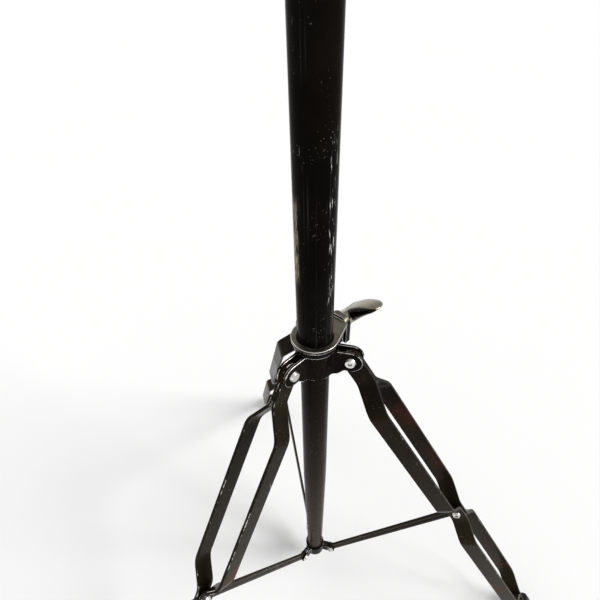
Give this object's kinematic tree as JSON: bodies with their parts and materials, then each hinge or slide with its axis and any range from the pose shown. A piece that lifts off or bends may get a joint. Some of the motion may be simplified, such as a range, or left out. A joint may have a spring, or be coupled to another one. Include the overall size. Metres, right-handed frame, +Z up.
{
  "type": "trumpet stand",
  "caption": "Folding tripod stand with double-strip legs, a clamped telescopic mast and a padded peg that holds a trumpet by its bell.",
  "frame": {"origin": "on the floor, on the centre line of the tubes, with the tripod open", "axes": "+Z up the tubes; the rear leg points along +Y, the right leg 30 degrees below +X and the left leg 30 degrees below -X"},
  "size_m": [0.4654, 0.4037, 0.9216],
  "materials": {
    "black_enamel": "gloss black enamel over steel, worn and scratched",
    "rivet_steel": "bright plain steel rivet",
    "dark_nickel": "dark nickel plate, worn bright at the rim",
    "cast_nickel": "satin nickel on a casting",
    "zinc_steel": "zinc plated steel",
    "nylon": "black nylon",
    "rubber": "black rubber",
    "felt": "black wool felt",
    "peg_plastic": "fine-grained black moulding",
    "soft_tip": "soft black elastomer"
  },
  "bodies": {
    "column": {"main_tube": "black_enamel", "hub_collar": "dark_nickel", "hub_plate_front": "black_enamel", "hub_plate_right": "black_enamel", "hub_plate_left": "black_enamel", "hub_rivets": "rivet_steel", "mast_clamp": "black_enamel", "mast_bush": "nylon"},
    "post": {"lower_post": "black_enamel", "spreader": "black_enamel", "spreader_rivets": "rivet_steel"},
    "hub_wing_screw": {"hub_screw": "zinc_steel", "hub_wing": "cast_nickel"},
    "mast_wing_screw": {"mast_screw": "zinc_steel", "mast_wing": "cast_nickel"},
    "mast": {"mast_tube": "black_enamel", "mast_plug": "zinc_steel"},
    "peg": {"rest_cup": "zinc_steel", "rest_pad": "felt", "bell_peg": "peg_plastic", "peg_tip": "soft_tip"},
    "leg_right": {"leg_right_strip_a": "black_enamel", "leg_right_strip_b": "black_enamel", "leg_right_joint_rivet": "rivet_steel", "leg_right_foot_rivet": "rivet_steel", "leg_right_foot": "rubber"},
    "brace_right": {"brace_right": "black_enamel"},
    "leg_left": {"leg_left_strip_a": "black_enamel", "leg_left_strip_b": "black_enamel", "leg_left_joint_rivet": "rivet_steel", "leg_left_foot_rivet": "rivet_steel", "leg_left_foot": "rubber"},
    "brace_left": {"brace_left": "black_enamel"},
    "leg_rear": {"leg_rear_strip_a": "black_enamel", "leg_rear_strip_b": "black_enamel", "leg_rear_joint_rivet": "rivet_steel", "leg_rear_foot_rivet": "rivet_steel", "leg_rear_foot": "rubber"},
    "brace_rear": {"brace_rear": "black_enamel"}
  },
  "joints": [
    {"name": "fold", "type": "slide", "parent": "column", "child": "post", "axis": [0, 0, -1], "range_m": [0, 0.06869]},
    {"name": "leg_right_pivot", "type": "hinge", "parent": "column", "child": "leg_right", "pos_m": [0.02304, -0.0133, 0.375], "axis": [0.5, 0.866, 0], "range_deg": [0, 28.59]},
    {"name": "brace_right_pivot", "type": "hinge", "parent": "leg_right", "child": "brace_right", "pos_m": [0.11908, -0.06875, 0.191], "axis": [0.5, 0.866, 0], "range_deg": [-60.42, 0]},
    {"name": "leg_left_pivot", "type": "hinge", "parent": "column", "child": "leg_left", "pos_m": [-0.02304, -0.0133, 0.375], "axis": [0.5, -0.866, 0], "range_deg": [0, 28.59]},
    {"name": "brace_left_pivot", "type": "hinge", "parent": "leg_left", "child": "brace_left", "pos_m": [-0.11908, -0.06875, 0.191], "axis": [0.5, -0.866, 0], "range_deg": [-60.42, 0]},
    {"name": "leg_rear_pivot", "type": "hinge", "parent": "column", "child": "leg_rear", "pos_m": [0, 0.0266, 0.375], "axis": [-1, 0, 0], "range_deg": [0, 28.59]},
    {"name": "brace_rear_pivot", "type": "hinge", "parent": "leg_rear", "child": "brace_rear", "pos_m": [0, 0.1375, 0.191], "axis": [-1, 0, 0], "range_deg": [-60.42, 0]},
    {"name": "hub_wing_turn", "type": "hinge", "parent": "column", "child": "hub_wing_screw", "pos_m": [0.02641, 0.01525, 0.3855], "axis": [0.866, 0.5, 0], "continuous": true},
    {"name": "mast_slide", "type": "slide", "parent": "column", "child": "mast", "axis": [0, 0, 1], "range_m": [-0.14, 0.14]},
    {"name": "mast_wing_turn", "type": "hinge", "parent": "column", "child": "mast_wing_screw", "pos_m": [0.02338, 0.0135, 0.625], "axis": [0.866, 0.5, 0], "continuous": true},
    {"name": "peg_turn", "type": "hinge", "parent": "mast", "child": "peg", "pos_m": [0, 0, 0.8], "axis": [0, 0, 1], "continuous": true}
  ],
  "couplings": [
    {"joint": "leg_right_pivot", "follows": "fold", "rad_per_m": 7.2612},
    {"joint": "brace_right_pivot", "follows": "fold", "rad_per_m": -15.349},
    {"joint": "leg_left_pivot", "follows": "fold", "rad_per_m": 7.2612},
    {"joint": "brace_left_pivot", "follows": "fold", "rad_per_m": -15.349},
    {"joint": "leg_rear_pivot", "follows": "fold", "rad_per_m": 7.2612},
    {"joint": "brace_rear_pivot", "follows": "fold", "rad_per_m": -15.349}
  ]
}
